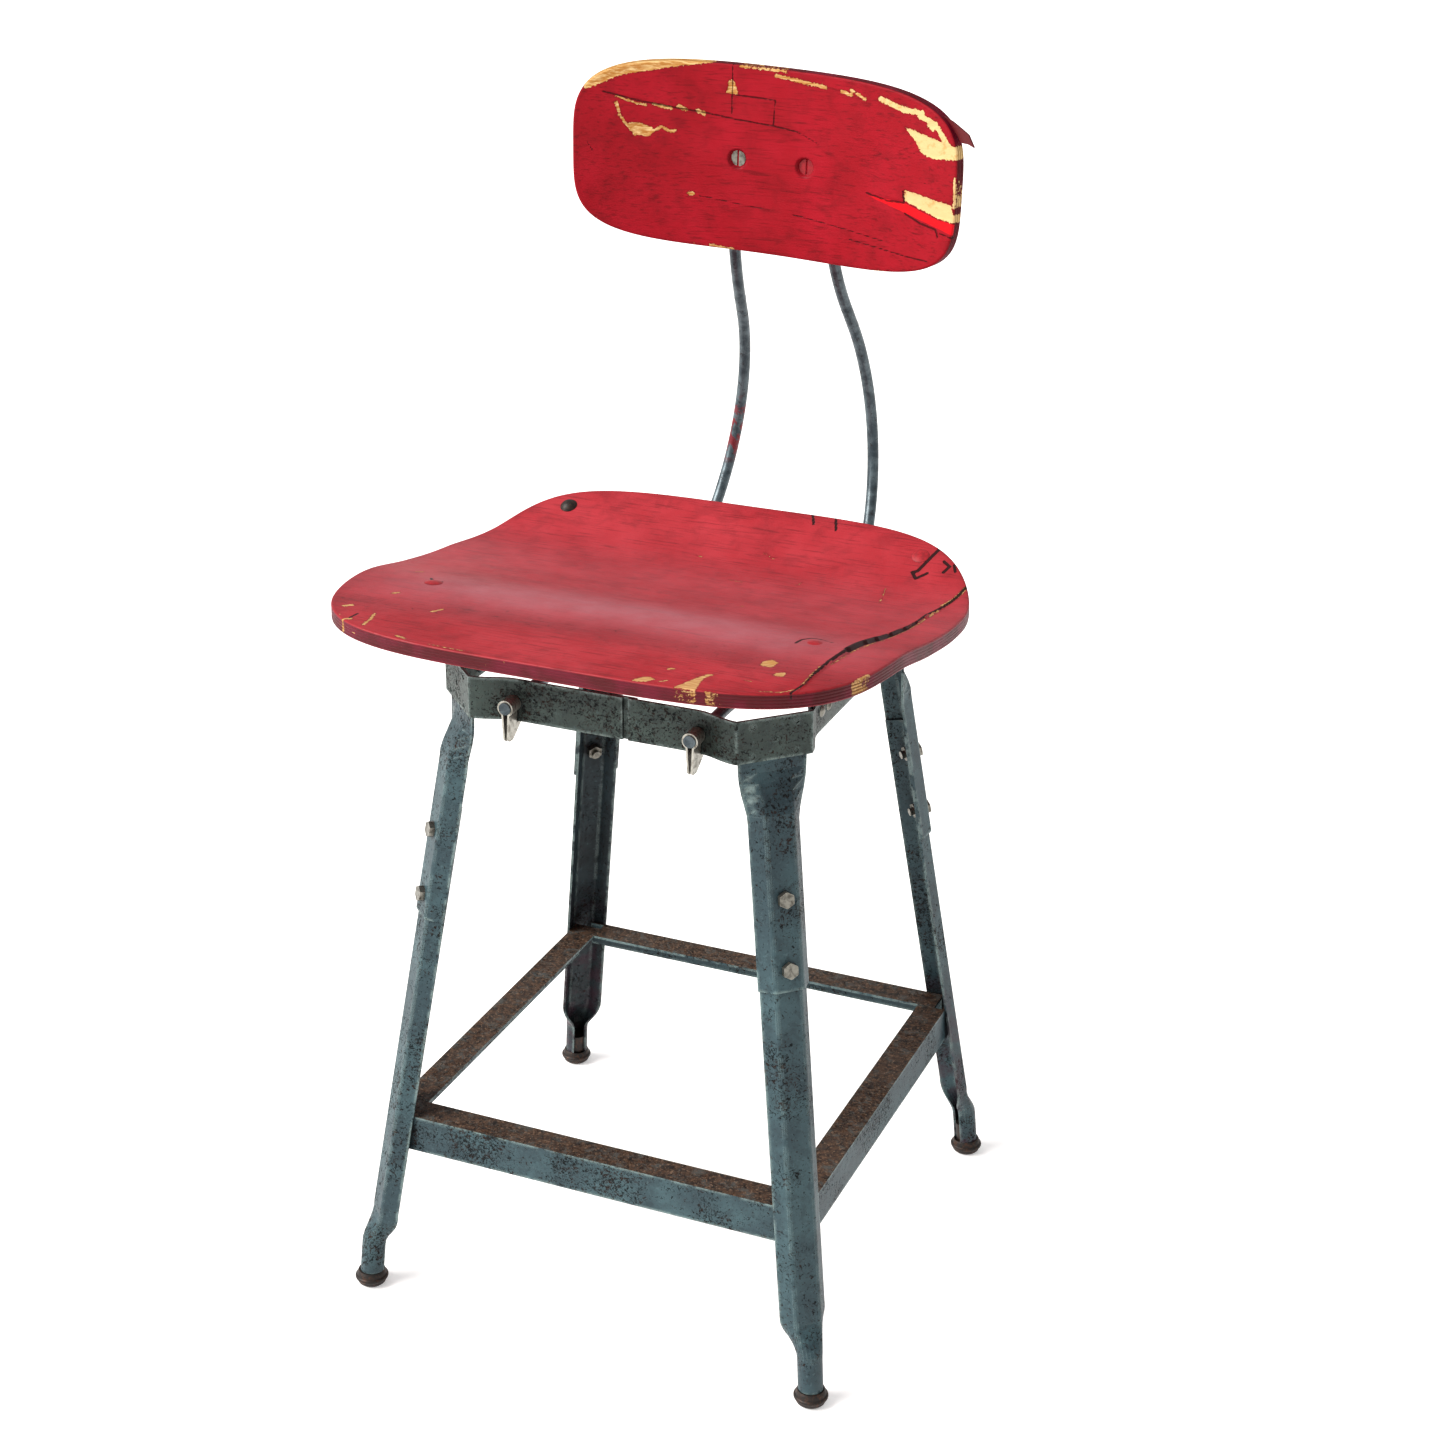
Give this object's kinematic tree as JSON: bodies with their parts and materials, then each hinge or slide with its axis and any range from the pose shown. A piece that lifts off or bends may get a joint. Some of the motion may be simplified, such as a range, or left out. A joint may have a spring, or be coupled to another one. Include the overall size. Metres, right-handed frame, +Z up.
{
  "type": "drafting chair",
  "caption": "workshop drafting chair with splayed pressed-steel legs, an angle-iron foot ring, a dished plywood seat and a curved plywood backrest that tilts on a bent rod",
  "frame": {"origin": "on the floor under the middle of the overall bounding box", "axes": "+Z up, +Y towards the back of the chair, +X towards the right hand of someone facing the chair's front from before it"},
  "size_m": [0.43, 0.4997, 0.9334],
  "materials": {
    "frame_enamel": "grey-green baked enamel, worn and speckled with chips and rust",
    "painted_plywood": "moulded plywood brushed with crimson paint, chipped to the bare veneer",
    "rod_steel": "thin worn grey-blue coat over round steel",
    "plated_steel": "dulled zinc plate",
    "glide_steel": "dark rusted pressed steel",
    "aged_bolts": "round-headed bolts, painted over and darkened"
  },
  "bodies": {
    "frame": {"apron_band": "frame_enamel", "upper_leg_fl": "frame_enamel", "upper_leg_fr": "frame_enamel", "upper_leg_bl": "frame_enamel", "upper_leg_br": "frame_enamel", "lower_leg_fl": "frame_enamel", "lower_leg_fr": "frame_enamel", "lower_leg_bl": "frame_enamel", "lower_leg_br": "frame_enamel", "glide_fl": "glide_steel", "glide_fr": "glide_steel", "glide_bl": "glide_steel", "glide_br": "glide_steel", "stretcher_front": "frame_enamel", "stretcher_back": "frame_enamel", "stretcher_left": "frame_enamel", "stretcher_right": "frame_enamel", "leg_bolts": "plated_steel", "leg_nuts": "plated_steel", "seat_bracket_fl": "frame_enamel", "seat_bracket_fr": "frame_enamel", "seat_bracket_bl": "frame_enamel", "seat_bracket_br": "frame_enamel", "bracket_bolts": "plated_steel", "seat_panel": "painted_plywood", "seat_bolts": "aged_bolts", "seat_nuts": "plated_steel", "clip_left": "plated_steel", "clip_right": "plated_steel"},
    "back_support": {"rod_frame": "rod_steel"},
    "backrest": {"backrest_panel": "painted_plywood", "pivot_plate": "rod_steel", "backrest_screws": "plated_steel", "backrest_nuts": "plated_steel"}
  },
  "joints": [
    {"name": "back_depth", "type": "slide", "parent": "frame", "child": "back_support", "axis": [0, 1, 0], "range_m": [-0.02, 0.01]},
    {"name": "backrest_tilt", "type": "hinge", "parent": "back_support", "child": "backrest", "pos_m": [0, 0.17614, 0.876], "axis": [0.9991, 0, -0.0419], "range_deg": [-25, 2]}
  ]
}
